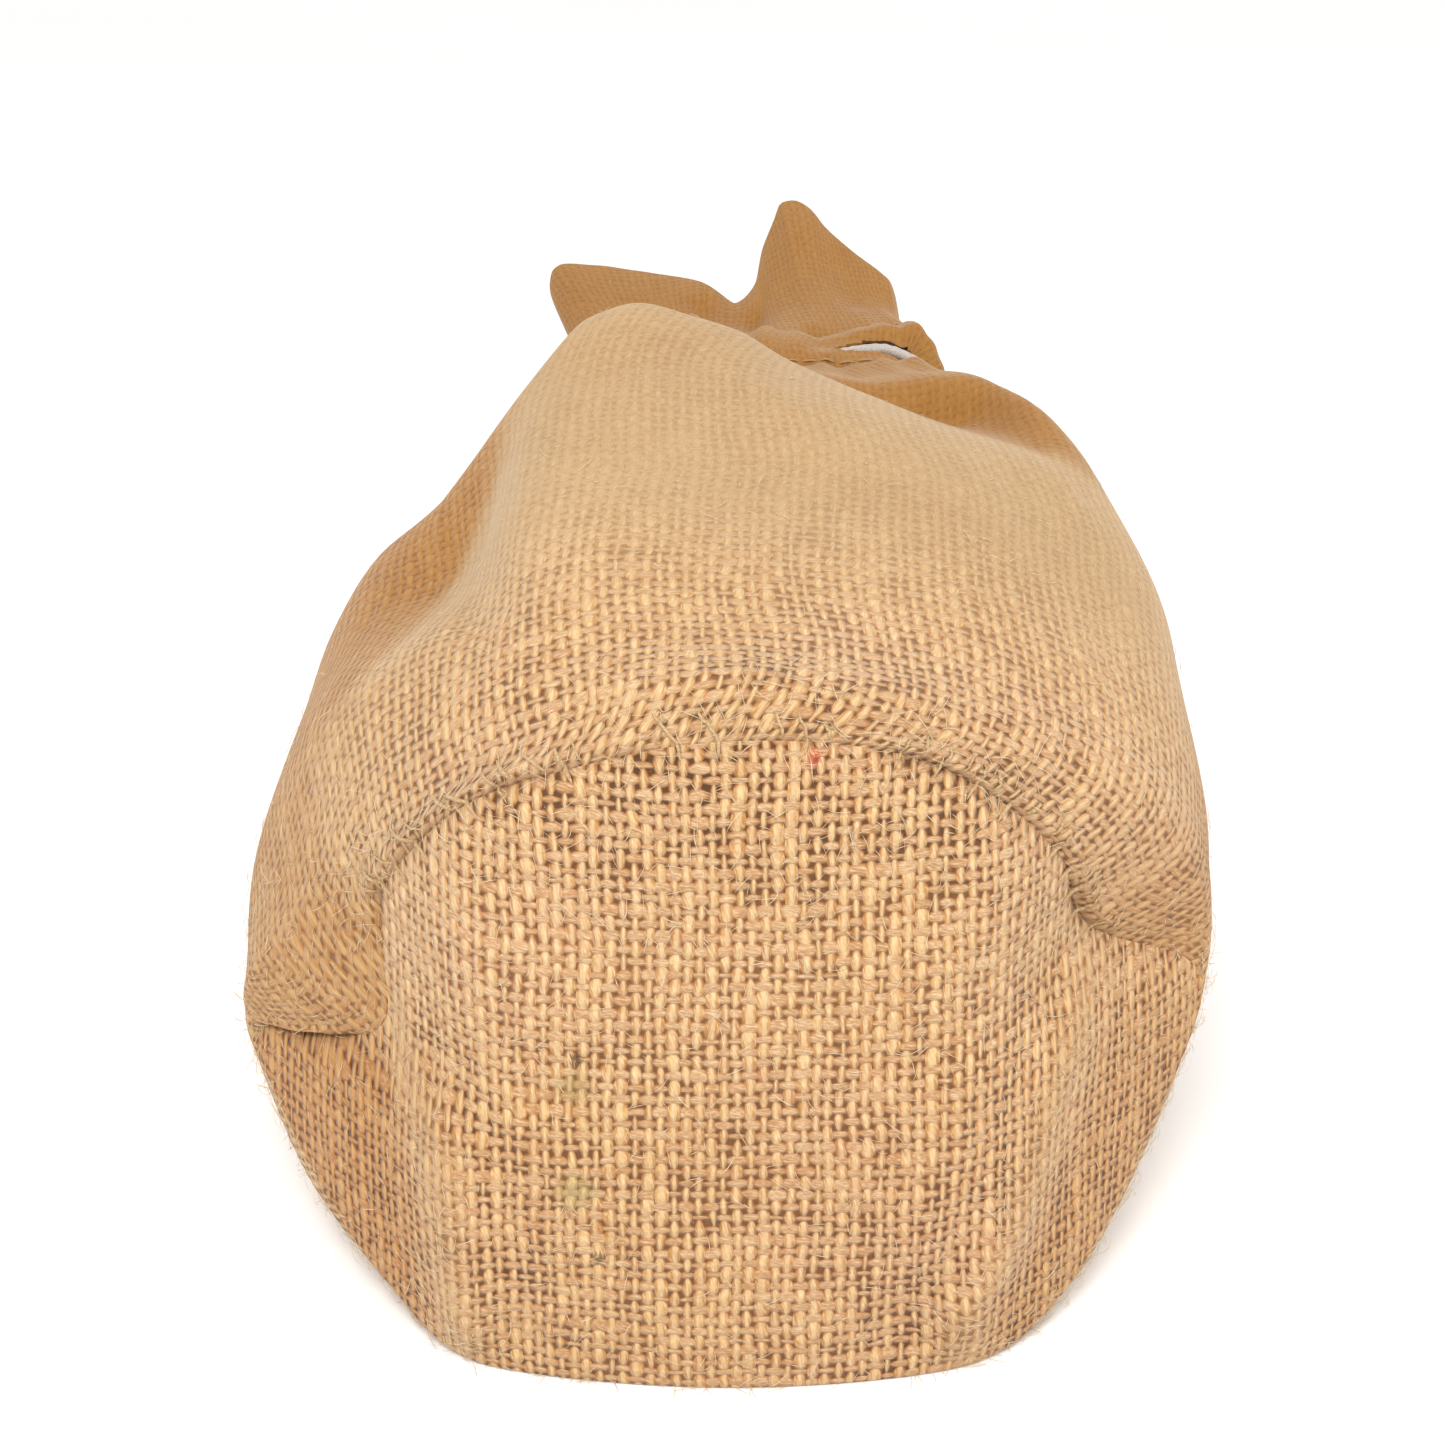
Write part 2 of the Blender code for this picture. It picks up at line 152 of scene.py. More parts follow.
# -------------------- node graphs
class Graph:
    """A material's nodes, with short calls for sums of values."""

    def __init__(self, name):
        self.material = bpy.data.materials.new(name)
        self.material.use_nodes = True
        self.tree = self.material.node_tree
        self.shader = self.tree.nodes["Principled BSDF"]

    def plug(self, socket, value):
        """Links an output to the socket, or sets the socket's own value."""
        if isinstance(value, bpy.types.NodeSocket):
            self.tree.links.new(value, socket)
        else:
            socket.default_value = value

    def math(self, operation, *values, clamp=False):
        node = self.tree.nodes.new("ShaderNodeMath")
        node.operation = operation
        node.use_clamp = clamp
        for socket, value in zip(node.inputs, values):
            self.plug(socket, value)
        return node.outputs[0]

    def add(self, a, b):
        return self.math("ADD", a, b)

    def sub(self, a, b):
        return self.math("SUBTRACT", a, b)

    def mul(self, a, b):
        return self.math("MULTIPLY", a, b)

    def scaled(self, a, factor, shift=0.0):
        """a * factor + shift"""
        return self.math("MULTIPLY_ADD", a, factor, shift)

    def combine(self, x, y, z=0.0):
        node = self.tree.nodes.new("ShaderNodeCombineXYZ")
        for socket, value in zip(node.inputs, (x, y, z)):
            self.plug(socket, value)
        return node.outputs[0]

    def noise(self, vector, scale=1.0, detail=2.0, roughness=0.5):
        node = self.tree.nodes.new("ShaderNodeTexNoise")
        node.inputs["Scale"].default_value = scale
        node.inputs["Detail"].default_value = detail
        node.inputs["Roughness"].default_value = roughness
        self.plug(node.inputs["Vector"], vector)
        return node.outputs["Fac"]

    def ramp(self, value, low, high, to_low=0.0, to_high=1.0):
        """From to_low at low to to_high at high, with soft ends."""
        node = self.tree.nodes.new("ShaderNodeMapRange")
        node.interpolation_type = "SMOOTHSTEP"
        for name, amount in (("From Min", low), ("From Max", high), ("To Min", to_low), ("To Max", to_high)):
            self.plug(node.inputs[name], amount)
        self.plug(node.inputs["Value"], value)
        return node.outputs[0]

    def mix(self, factor, a, b, blend="MIX"):
        node = self.tree.nodes.new("ShaderNodeMix")
        node.data_type = "RGBA"
        node.blend_type = blend
        node.clamp_factor = True
        self.plug(node.inputs[0], factor)
        for socket, value in zip(node.inputs[6:8], (a, b)):     # the two colours
            if isinstance(value, tuple):
                value = (*value, 1.0)
            self.plug(socket, value)
        return node.outputs[2]

    def blend_values(self, factor, a, b):
        node = self.tree.nodes.new("ShaderNodeMix")
        node.data_type = "FLOAT"
        node.clamp_factor = True
        for socket, value in zip((node.inputs[0], *node.inputs[2:4]), (factor, a, b)):
            self.plug(socket, value)
        return node.outputs[0]

    def attribute(self, name):
        node = self.tree.nodes.new("ShaderNodeAttribute")
        node.attribute_name = name
        return node.outputs["Fac"]

    def bump(self, height, distance, strength=1.0):
        node = self.tree.nodes.new("ShaderNodeBump")
        self.plug(node.inputs["Strength"], strength)
        node.inputs["Distance"].default_value = distance
        self.plug(node.inputs["Height"], height)
        self.plug(self.shader.inputs["Normal"], node.outputs[0])

    def finish(self, colour, roughness=0.9, sheen=0.25):
        self.plug(self.shader.inputs["Base Color"], colour)
        self.plug(self.shader.inputs["Roughness"], roughness)
        self.shader.inputs["Sheen Weight"].default_value = sheen
        self.shader.inputs["Sheen Roughness"].default_value = 0.5
        self.shader.inputs["Sheen Tint"].default_value = (1.0, 0.9, 0.75, 1.0)
        self.shader.inputs["Specular IOR Level"].default_value = 0.2
        return self.material


# -------------------- the hessian
def wander(g, across, along, seed):
    """How far a yarn strays sideways, in yarns: fast from yarn to yarn, slowly along it."""
    amount = 0.9
    place = g.combine(g.scaled(across, 0.62, seed), g.scaled(along, 0.11), seed)
    slow = g.combine(g.scaled(across, 0.09, seed), g.scaled(along, 0.09), seed + 4.0)
    return g.add(g.scaled(g.noise(place), amount, -amount / 2),
                 g.scaled(g.noise(slow), amount * 1.3, -amount * 0.65))


def yarn(g, index, along, across, loose, seed, middle, thicker):
    """How round a yarn is at a place across it, and its radius there, with slubs and knots."""
    slub = g.noise(g.combine(g.scaled(index, 7.31, seed), g.scaled(along, 0.14), seed), detail=3.0)
    knots = g.noise(g.combine(g.scaled(index, 3.17, seed + 9.0), g.scaled(along, 0.7), seed), detail=1.0)
    radius = g.add(g.ramp(slub, 0.25, 0.75, middle - 0.11, middle + 0.13), g.scaled(knots, 0.22, -0.11))
    radius = g.add(radius, g.scaled(loose, -0.035))
    radius = g.add(radius, thicker)
    radius = g.math("MAXIMUM", radius, 0.19)
    edge = g.math("DIVIDE", across, radius)
    return g.math("MAXIMUM", g.sub(1.0, g.mul(edge, edge)), -1.3), radius


def one_yarn(g, index, number, along, low, high, amount):
    """Makes one yarn of the base thicker between two places along it."""
    there = g.mul(g.ramp(along, low, low + 4.0), g.ramp(along, high, high - 4.0))
    return g.mul(g.mul(g.math("COMPARE", index, number, 0.5), there), amount)


def stained(g, colour, u, v, twist):
    """The colour with the base's small stains on it."""
    for x, z, reach, strength, stain in STAINS:
        place_u, place_v = yarn_place(x, z)
        along_u, along_v = g.sub(u, place_u), g.sub(v, place_v)
        away = g.math("SQRT", g.add(g.mul(along_u, along_u), g.mul(along_v, along_v)))
        spot = g.ramp(g.add(away, g.scaled(twist, 3.0, -1.5)), reach, reach * 0.2, 0.0, strength)
        colour = g.mix(spot, colour, stain)
    return colour


def hessian_material():
    """Plain weave: golden slubby warp yarns along v, paler weft yarns along u, painted shade in the gaps
    between.

    Three numbers at the cloth's points steer it: soft makes the weave fainter, loose opens its
    gaps, and shade darkens it with painted shade.
    """
    g = Graph("hessian")
    uv = g.tree.nodes.new("ShaderNodeUVMap")
    uv.uv_map = "weave"
    parts = g.tree.nodes.new("ShaderNodeSeparateXYZ")
    g.plug(parts.inputs[0], uv.outputs[0])
    u0, v0 = parts.outputs[0], parts.outputs[1]
    soft, shade = g.attribute("soft"), g.attribute("shade")
    loose = g.noise(g.combine(g.mul(u0, 0.045), g.mul(v0, 0.045), 7.0), detail=2.0)
    loose = g.math("ADD", g.ramp(loose, 0.42, 0.70, 0.10, 0.30), g.attribute("loose"), clamp=True)

    # Yarn numbers (iu, iv), places across the yarns (fu, fv), and which yarn goes over the other.
    u = g.add(u0, wander(g, u0, v0, 3.1))
    v = g.add(v0, wander(g, v0, u0, 11.7))
    iu, iv = g.math("FLOOR", u), g.math("FLOOR", v)
    fu, fv = g.sub(g.sub(u, iu), 0.5), g.sub(g.sub(v, iv), 0.5)
    odd = g.math("FLOORED_MODULO", g.add(iu, iv), 2.0)
    sign = g.scaled(odd, -2.0, 1.0)
    warp_rise = g.mul(sign, g.math("COSINE", g.mul(fv, math.pi)))
    weft_rise = g.mul(g.mul(sign, -1.0), g.math("COSINE", g.mul(fu, math.pi)))

    # Heights. Two yarns of the base have a thick stretch.
    slub_u, slub_low = yarn_place(13.0, 82.0)
    band_u, band_v = yarn_place(20.0, 101.0)
    warp_slub = one_yarn(g, iu, math.floor(slub_u), v0, slub_low, 60.0, 0.17)
    weft_slub = one_yarn(g, iv, math.floor(band_v), u0, band_u, band_u + 20.0, 0.14)
    warp, warp_radius = yarn(g, iu, v, fu, loose, seed=1.3, middle=0.32, thicker=warp_slub)
    weft, weft_radius = yarn(g, iv, u, fv, loose, seed=6.9, middle=0.315, thicker=weft_slub)
    warp_bulk = g.add(g.scaled(warp, 0.55), g.scaled(warp_radius, 1.6, -0.40))
    weft_bulk = g.add(g.scaled(weft, 0.55), g.scaled(weft_radius, 1.6, -0.56))
    warp_height = g.add(g.scaled(warp_rise, 0.60), warp_bulk)
    weft_height = g.add(g.scaled(weft_rise, 0.50), weft_bulk)
    warp_on_top = g.ramp(g.sub(warp_height, weft_height), -0.06, 0.06)
    height = g.math("MAXIMUM", warp_height, weft_height)

    # The yarns' twisted fibres run slantwise across them.
    warp_way = g.combine(g.add(g.mul(u, 6.5), g.mul(v, 1.6)), g.mul(v, 1.1), iu)
    weft_way = g.combine(g.mul(u, 1.5), g.add(g.mul(v, 7.5), g.mul(u, 1.2)), iv)
    twist_warp = g.noise(warp_way, detail=4.0, roughness=0.7)
    twist_weft = g.noise(weft_way, detail=4.0, roughness=0.75)
    twist = g.blend_values(warp_on_top, twist_weft, twist_warp)

    # Colours of the yarns and stray fibres, with painted shade where yarns sink, between their fibres and in
    # their gaps, and painted highlights on the yarns' crowns.
    warp_tone = g.noise(g.combine(g.scaled(iu, 5.17, 2.0), g.scaled(v, 0.3), 3.0), detail=3.0)
    weft_tone = g.noise(g.combine(g.scaled(iv, 4.13, 8.0), g.scaled(u, 0.3), 5.0), detail=3.0)
    warp_colour = g.mix(g.ramp(warp_tone, 0.3, 0.7), GOLD_DARK, GOLD_LIGHT)
    weft_colour = g.mix(g.ramp(weft_tone, 0.3, 0.7), CREAM_DARK, CREAM_LIGHT)
    broad = g.noise(g.combine(g.mul(u0, 0.05), g.mul(v0, 0.05), 1.0), detail=3.0)
    hair_way = g.combine(g.add(g.mul(u0, 3.1), g.mul(v0, 0.9)), g.sub(g.mul(v0, 0.9), g.mul(u0, 0.5)), 2.0)
    hairs = g.noise(hair_way, detail=5.0, roughness=0.75)
    woven = g.mix(warp_on_top, weft_colour, warp_colour)
    for amount, tint in (
            (g.ramp(broad, 0.42, 0.7, 0.0, 0.45), PINKISH),
            (g.ramp(twist, 0.62, 0.30, 0.0, 0.55), SHADE),
            (g.ramp(twist, 0.45, 0.72, 0.0, 0.70), HIGHLIGHT_AND_PALE_FIBRE),
            (g.mul(warp_on_top, g.ramp(warp, 0.45, 1.0, 0.0, 0.38)), HIGHLIGHT_AND_PALE_FIBRE),
            (g.ramp(height, 0.60, -0.10, 0.0, 0.85), SHADE),
            (g.mul(g.ramp(height, 0.10, -0.42), g.scaled(loose, 0.45, 0.42)), GAP_SHADE),
            (g.ramp(hairs, 0.60, 0.72, 0.0, 0.5), HIGHLIGHT_AND_PALE_FIBRE)):
        woven = g.mix(amount, woven, tint)

    plain = g.mix(g.ramp(g.add(g.mul(twist, 0.6), g.mul(broad, 0.4)), 0.3, 0.7), PLAIN_DARK, PLAIN_LIGHT)
    colour = stained(g, g.mix(g.scaled(soft, 0.80), woven, plain), u0, v0, twist)
    # Painted shade: as far as the shade number says, the colour is multiplied by the shade tint.
    colour = g.mix(shade, colour, g.mix(1.0, colour, SHADE_TINT, "MULTIPLY"))
    g.bump(g.add(height, g.scaled(twist, 0.5)), 0.00055, g.scaled(soft, -0.78, 1.0))
    return g.finish(colour)


def simple_material(name, dark, light, scale, sheen=0.2, bump=0.0001):
    """Cotton or jute on pieces with no cloth coordinates: fibrous noise in the object's own space."""
    g = Graph(name)
    fibres = g.noise(g.tree.nodes.new("ShaderNodeTexCoord").outputs["Object"], scale, 4.0, 0.65)
    g.bump(fibres, bump)
    return g.finish(g.mix(g.ramp(fibres, 0.3, 0.7), dark, light), sheen=sheen)


hessian = hessian_material()
thread = simple_material("sewing_thread", (0.30, 0.17, 0.07), (0.44, 0.28, 0.13), 4000.0)
cotton = simple_material("cotton_cord", (0.33, 0.29, 0.26), (0.52, 0.47, 0.43), 2600.0, sheen=0.4)
fibre = simple_material("loose_fibre", (0.52, 0.38, 0.22), (0.74, 0.62, 0.44), 900.0)
jute_edge = simple_material("jute_edge", (0.40, 0.24, 0.10), (0.60, 0.44, 0.25), 1800.0)
jute_yarn = simple_material("jute_yarn", (0.352, 0.198, 0.072), (0.558, 0.416, 0.252), 2600.0, bump=0.0002)


# -------------------- meshes
def link(name, mesh, *materials):
    """An object in the scene with this mesh and these materials."""
    piece = bpy.data.objects.new(name, mesh)
    bpy.context.scene.collection.objects.link(piece)
    for material in materials:
        mesh.materials.append(material)
    return piece


def grid_faces(rows, columns, closed):
    """The four corners of each face of a grid, whose columns may close into a ring."""
    across = columns if closed else columns - 1
    r, c = np.meshgrid(np.arange(rows - 1), np.arange(across), indexing="ij")
    a = r * columns + c
    b = r * columns + (c + 1) % columns
    return np.stack([a, b, b + columns, a + columns], -1).reshape(-1, 4)


def grid_mesh(name, points, uv, flip, values):
    """A tube of rows closed around, uv given with one column more than the points."""
    rows, columns = points.shape[:2]
    faces, corners = grid_faces(rows, columns, True), grid_faces(rows, columns + 1, False)
    if flip:
        faces, corners = faces[:, ::-1], corners[:, ::-1]
    mesh = bpy.data.meshes.new(name)
    mesh.from_pydata([tuple(p) for p in world(points).reshape(-1, 3)], [], faces.tolist())
    layer = mesh.uv_layers.new(name="weave")
    layer.data.foreach_set("uv", uv.reshape(-1, 2)[corners.ravel()].astype(np.float32).ravel())
    for key, value in values.items():
        spread = np.broadcast_to(value, (rows, columns)).astype(np.float32)
        mesh.attributes.new(key, "FLOAT", "POINT").data.foreach_set("value", spread.ravel())
    mesh.shade_smooth()
    mesh.update()
    return mesh


def thicken(piece, thickness):
    """Gives a sheet its thickness, and keeps the result in its mesh with sharp rims."""
    solid = piece.modifiers.new("thickness", "SOLIDIFY")
    solid.thickness = thickness * MM
    solid.offset = -1.0
    bpy.context.view_layer.update()
    kept = bpy.data.meshes.new_from_object(piece.evaluated_get(bpy.context.evaluated_depsgraph_get()))
    piece.modifiers.clear()
    kept.set_sharp_from_angle(angle=math.radians(58))
    piece.data = kept


def cut_hole(mesh, columns, first_row, wanted):
    """Deletes the faces of a tube's grid, from a row on, that wanted says yes to."""
    bm = bmesh.new()
    bm.from_mesh(mesh)
    bm.faces.ensure_lookup_table()
    gone = [f for f in bm.faces if f.index // columns >= first_row and wanted(f)]
    bmesh.ops.delete(bm, geom=gone, context="FACES")
    bm.to_mesh(mesh)
    bm.free()


def cloth_piece(name, points, uv, thickness=CLOTH, flip=True, hole=None, **values):
    """A sheet of hessian. A hole is the row it starts from and a test of faces."""
    mesh = grid_mesh(name, points, uv, flip, values)
    if hole:
        cut_hole(mesh, points.shape[1], *hole)
    piece = link(name, mesh, hessian)
    thicken(piece, thickness)
    return piece


# -------------------- curves and tubes
def ease(value, low, high):
    """From 0 at low to 1 at high, with soft ends."""
    t = np.clip((value - low) / (high - low), 0.0, 1.0)
    return t * t * (3 - 2 * t)


def hump(value, middle, half_width):
    """1 at the middle, fading to both sides."""
    return np.exp(-(((value - middle) / half_width) ** 2))


def cubic(start, end, slope, end_slope, span, t):
    """A curve from start to end with a slope at each, at t of its span."""
    return (start * (2 * t**3 - 3 * t**2 + 1) + slope * span * (t**3 - 2 * t**2 + t)
            + end * (3 * t**2 - 2 * t**3) + end_slope * span * (t**3 - t**2))


def along(stations, values, wanted):
    """Curves through values at stations that never overshoot them."""
    stations = np.asarray(stations, float)
    steps = np.diff(stations).reshape((-1,) + (1,) * (values.ndim - 1))
    rises = np.diff(values, axis=0) / steps
    slopes = np.concatenate([rises[:1], (rises[:-1] + rises[1:]) / 2, rises[-1:]])
    limit = 2.2 * np.minimum(abs(rises[:-1]), abs(rises[1:]))
    limit[rises[:-1] * rises[1:] < 0] = 0.0
    slopes[1:-1] = np.clip(slopes[1:-1], -limit, limit)
    out = []
    for d in wanted:
        k = int(np.clip(np.searchsorted(stations, d, side="right") - 1, 0, len(stations) - 2))
        span = stations[k + 1] - stations[k]
        out.append(cubic(values[k], values[k + 1], slopes[k], slopes[k + 1], span, (d - stations[k]) / span))
    return np.array(out)


TURN = 16                # places once around the sack are counted in sixteenths


def wrapped(placed):
    """Rows of place, x, y, z, with three of them again a turn before and a turn after."""
    turn = (TURN, 0, 0, 0)
    return np.concatenate([placed[-3:] - turn, placed, placed[:3] + turn])


def ring(points, count):
    """A closed curve of count points. Points are x, y, z at the sixteenths, or place, x, y, z."""
    rows = wrapped(np.array([p if len(p) == 4 else (k, *p) for k, p in enumerate(points)], float))
    k, p = rows[:, 0], rows[:, 1:]
    slopes = np.zeros_like(p)
    before, after = np.diff(k)[:-1, None], np.diff(k)[1:, None]
    rises = np.diff(p, axis=0) / np.diff(k)[:, None]
    slopes[1:-1] = (rises[:-1] * after + rises[1:] * before) / (before + after)
    out = []
    for d in np.arange(count) * TURN / count:
        i = int(np.searchsorted(k, d, side="right") - 1)
        span = k[i + 1] - k[i]
        out.append(cubic(p[i], p[i + 1], slopes[i], slopes[i + 1], span, (d - k[i]) / span))
    return np.array(out)


def smooth_route(points, step):
    """Points about one step apart on a smooth curve through the given ones."""
    points = np.array(points, float)
    ways = np.concatenate([[0], np.cumsum(np.linalg.norm(np.diff(points, axis=0), axis=1))])
    count = int(math.ceil(ways[-1] / step)) + 1
    return along(ways, points, np.linspace(0, ways[-1], count))


def tube(route, radius, sides=12, strands=0, twist=8.0, closed=False, taper=False):
    """Vertices and faces of a tube along a route in mm, with twisted strands where asked."""
    route = np.asarray(route, float)
    if closed:
        tangents = np.roll(route, -1, 0) - np.roll(route, 1, 0)
    else:
        tangents = np.gradient(route, axis=0)
    tangents /= np.linalg.norm(tangents, axis=1, keepdims=True)
    side = np.cross(tangents[0], (0.3, 0.2, 0.93))
    points = []
    run = 0.0
    for n, (place, tangent) in enumerate(zip(route, tangents)):
        if n:
            run += np.linalg.norm(place - route[n - 1])
        side = side - tangent * side.dot(tangent)
        side /= np.linalg.norm(side)
        up = np.cross(tangent, side)
        angle = np.arange(sides) * 2 * math.pi / sides
        width = np.full(sides, float(radius))
        if strands:
            width *= 0.80 + 0.22 * abs(np.cos(strands / 2 * (angle - run * 2 * math.pi / twist)))
        if taper:
            width *= 0.25 + 0.75 * max(0.0, math.sin(math.pi * n / (len(route) - 1))) ** 0.5
        points.append(place + np.outer(np.cos(angle) * width, side) + np.outer(np.sin(angle) * width, up))
    points = np.array(points)
    faces = [tuple(f) for f in grid_faces(len(route), sides, True)]
    last = (len(route) - 1) * sides
    if closed:
        faces += [(last + i, last + (i + 1) % sides, (i + 1) % sides, i) for i in range(sides)]
    else:
        faces += [tuple(range(sides - 1, -1, -1)), tuple(range(last, last + sides))]
    return points.reshape(-1, 3), faces


def join(name, parts, material):
    """One piece made of several sets of vertices and faces."""
    vertices, faces, start = [], [], 0
    for points, polygons in parts:
        vertices.append(points)
        faces += [tuple(int(i) + start for i in f) for f in polygons]
        start += len(points)
    mesh = bpy.data.meshes.new(name)
    mesh.from_pydata(world(np.concatenate(vertices)).tolist(), [], faces)
    mesh.shade_smooth()
    return link(name, mesh, material)


# -------------------- the drawstring's tails
CORD_CROWN = 1.45        # to the crowns of its strands
CORD_STEP = 1.2          # between the rings of its tube
CORD_Z = 140.5
TAIL_X = 62.5


def cord_tube(route, crown, sides=18, closed=False):
    """Cord of three strands, one turn of their twist being 8 mm long."""
    return tube(route, crown, sides, strands=3, twist=8.0, closed=closed)


def stop_knot(x, y, z):
    """An overhand knot, as a trefoil of cord."""
    turns = np.linspace(0, 2 * math.pi, 97)[:-1]
    reach = 2 + np.cos(3 * turns)
    trefoil = np.stack([reach * np.cos(2 * turns) * 0.82, reach * np.sin(2 * turns) * 0.82,
                        2.3 * np.sin(3 * turns)], 1)
    return cord_tube(trefoil + (x, y, z), 1.2, sides=12, closed=True)


def frayed_end(x, y, top):
    """The cord's short end past its knot, with fibres spread at the tip."""
    parts = [cord_tube([(x, y, top - 0.9 * k) for k in range(10)], CORD_CROWN)]
    for strand in range(26):
        turn = strand * 2.4
        spread = 0.35 + 0.8 * ((strand * 7) % 10) / 10
        way = [(x + math.cos(turn) * (0.5 + spread * t * t), y + math.sin(turn) * (0.5 + spread * t * t),
                top - 7.6 - 2.6 * t) for t in (0.0, 0.35, 0.7, 1.0)]
        parts.append(tube(way, 0.11, sides=4))
    return parts


def make_tail(letter, y, end):
    """The tail out of the slit and down the neck's side, its stop knot and its short end."""
    places = [(12, CORD_Z), (26, CORD_Z), (33.5, 141.7), (40.5, 142.4), (47.8, 140.0), (54.5, 135.4),
              (59.5, 128.5), (62.0, 119.0), (TAIL_X, 108.0), (TAIL_X, 97.5), (TAIL_X + 0.4, 77.8),
              (TAIL_X - 0.4, (95.8 + end) / 2 - 6), (TAIL_X, end + 12), (TAIL_X, end)]
    route = smooth_route([(x, y, z) for x, z in places], CORD_STEP)
    tail = join(f"tail_{letter}", [cord_tube(route, CORD_CROWN)], cotton)
    knot_z = end - 3.9
    knot = join(f"stop_knot_{letter}", [stop_knot(TAIL_X, y, knot_z)], cotton)
    tip = join(f"frayed_tip_{letter}", frayed_end(TAIL_X, y, knot_z - 2.6), cotton)
    hidden = smooth_route([(-16, y, CORD_Z), (12.3, y, CORD_Z)], CORD_STEP)
    slack = join(f"slack_{letter}", [cord_tube(hidden, 1.3)], cotton)
    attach(slack, "drawstring")
    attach(knot, f"tail_{letter}")
    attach(tip, f"tail_{letter}")
    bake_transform(tail)
    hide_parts(f"tail_{letter}_run", f"tail_{letter}_hang")
    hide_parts(f"tail_{letter}_run")
    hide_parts(f"knot_{letter}")
    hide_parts(f"tip_{letter}")


make_tail("a", 211.0, 32.0)
make_tail("b", 219.0, 24.0)


# -------------------- the cloth's shape
# Sixteen points around the sack at each station, from the middle underneath, over +X, to -X.
# A ring with folds of its own gives each point's place around, in sixteenths, before it.
SEAM = [(0, 0, -14, 0.6), (1, 44, -9, 0.6), (2, 67, 6, 7), (3, 86, 28, 30), (4, 98, 46, 56),
        (5, 73, 36, 74), (6, 62, 23, 99), (7, 37, 16, 119), (8, 3, 14, 124.5), (9, -26, 14, 119),
        (10, -51, 19, 106), (10.6, -63, 28, 90), (11, -67, 33, 80), (11.3, -66, 29, 69),
        (11.6, -66, 26, 58), (11.85, -73, 30, 51.5), (12.1, -84, 38, 47), (12.4, -96.5, 47, 42),
        (12.8, -91, 36, 33), (13, -86, 29, 27), (14, -66, 7, 9), (15, -45, -8, 0.8)]
RIDGE = [(0, 0, -11, 0.0), (1, 46, -4, 0.0), (2, 70, 12, 6), (3, 89, 33, 30), (4, 100, 49, 60),
         (5, 93, 41, 84), (6, 78, 31, 106), (7, 46, 23, 123), (8, 3, 19, 134.5), (9, -29, 20, 126),
         (10, -55, 25, 108), (10.6, -68, 33, 95), (11, -76, 38, 85), (11.5, -90, 45, 67),
         (12, -97.5, 49, 54), (12.4, -99.5, 51, 45), (13, -89, 34, 25), (14, -69, 13, 8),
         (15, -46, -3, 0.0)]
BEHIND = [(0, 2, 0.0), (46, 8, 0.0), (73, 24, 7), (92, 42, 32), (100.5, 56, 63), (96, 50, 87),
          (81, 42, 110), (49, 34, 127), (3, 31, 135.5), (-33, 32, 132), (-57, 36, 117), (-79, 47, 95),
          (-99, 57, 56), (-91, 43, 28), (-71, 25, 8), (-45, 9, 0.0)]
FRONT = [(0, 1, 30, 0), (1, 44, 33, 0), (2, 75, 44, 10), (3, 94, 56, 36), (4, 101, 64, 70), (5, 97, 62, 94),
         (6, 84, 57, 116), (7, 52, 54, 134), (8, 4, 53, 142), (9, -36, 53, 140), (9.5, -47, 54, 130),
         (10, -57, 55, 126), (10.5, -72, 57, 115), (11, -83, 62, 102), (12, -100, 68, 64),
         (13, -92, 58, 34), (14, -70, 44, 9), (15, -42, 33, 0)]
MIDDLE = [(0, 3, 78, 0), (1, 42, 78, 0), (2, 73, 80, 12), (3, 93, 83, 40), (4, 99, 86, 76),
          (5, 96, 88, 104), (6, 86, 88, 126), (7, 50, 88, 143), (8, 5, 88, 149), (9, -40, 88, 148),
          (9.5, -50, 88, 131), (10, -58, 88, 123), (10.5, -73, 90, 116), (11, -84, 92, 106),
          (12, -95, 90, 74), (13, -86, 86, 38), (14, -65, 81, 12), (15, -38, 78, 0)]
BACK = [(5, 120, 0), (38, 120, 1), (66, 120, 18), (86, 120, 50), (93, 120, 88), (89, 120, 120),
        (79, 119, 138), (42, 119, 149), (1, 120, 159), (-36, 120, 159), (-63, 120, 131), (-81.5, 120, 113),
        (-90, 120, 83), (-78, 120, 44), (-56, 120, 16), (-30, 120, 1)]
CREST = [(0, 6, 143, 3), (1, 36, 143, 5), (2, 60, 143, 22), (3, 79, 143, 55), (4, 86, 143, 94),
         (5, 84, 143, 124), (5.6, 78, 142, 140), (6, 73, 142, 144.5), (6.35, 64, 144, 140),
         (6.7, 52, 146, 140.5), (7, 41, 147, 144), (7.35, 27.6, 147, 150.2), (7.7, 14, 147, 157.1),
         (8, 4.6, 147, 163.5), (8.35, -8, 148, 168), (8.65, -18, 148, 170.8), (9, -27, 146, 169.3),
         (9.25, -33, 144, 166), (9.5, -38, 143, 157), (9.75, -43.5, 143, 145), (10, -52, 143, 130),
         (11, -69, 143, 113), (12, -73, 143, 84), (13, -66, 143, 50), (14, -48, 143, 20), (15, -24, 143, 5)]
VALLEY = [(0, 6.5, 154, 8), (1, 34, 154, 10), (2, 56, 154, 25), (3, 74, 154, 57), (4, 81, 154, 95),
          (5, 79.5, 154, 124), (5.6, 74, 153, 140), (6, 68.5, 154, 146), (6.35, 60, 156, 139.5),
          (6.7, 49, 158, 136.5), (7, 40, 158, 138), (7.35, 27, 158, 143), (7.7, 14, 158, 150),
          (8, 4.5, 158, 157), (8.35, -7, 158, 162), (8.65, -16, 158, 164.5), (9, -25, 157, 163.5),
          (9.25, -31, 156, 160), (9.5, -36, 155, 152), (9.75, -41, 155, 141), (10, -47, 154, 129),
          (11, -60, 154, 112), (12, -66.5, 154, 84), (13, -60, 154, 53), (14, -43, 154, 24),
          (15, -21, 154, 10)]
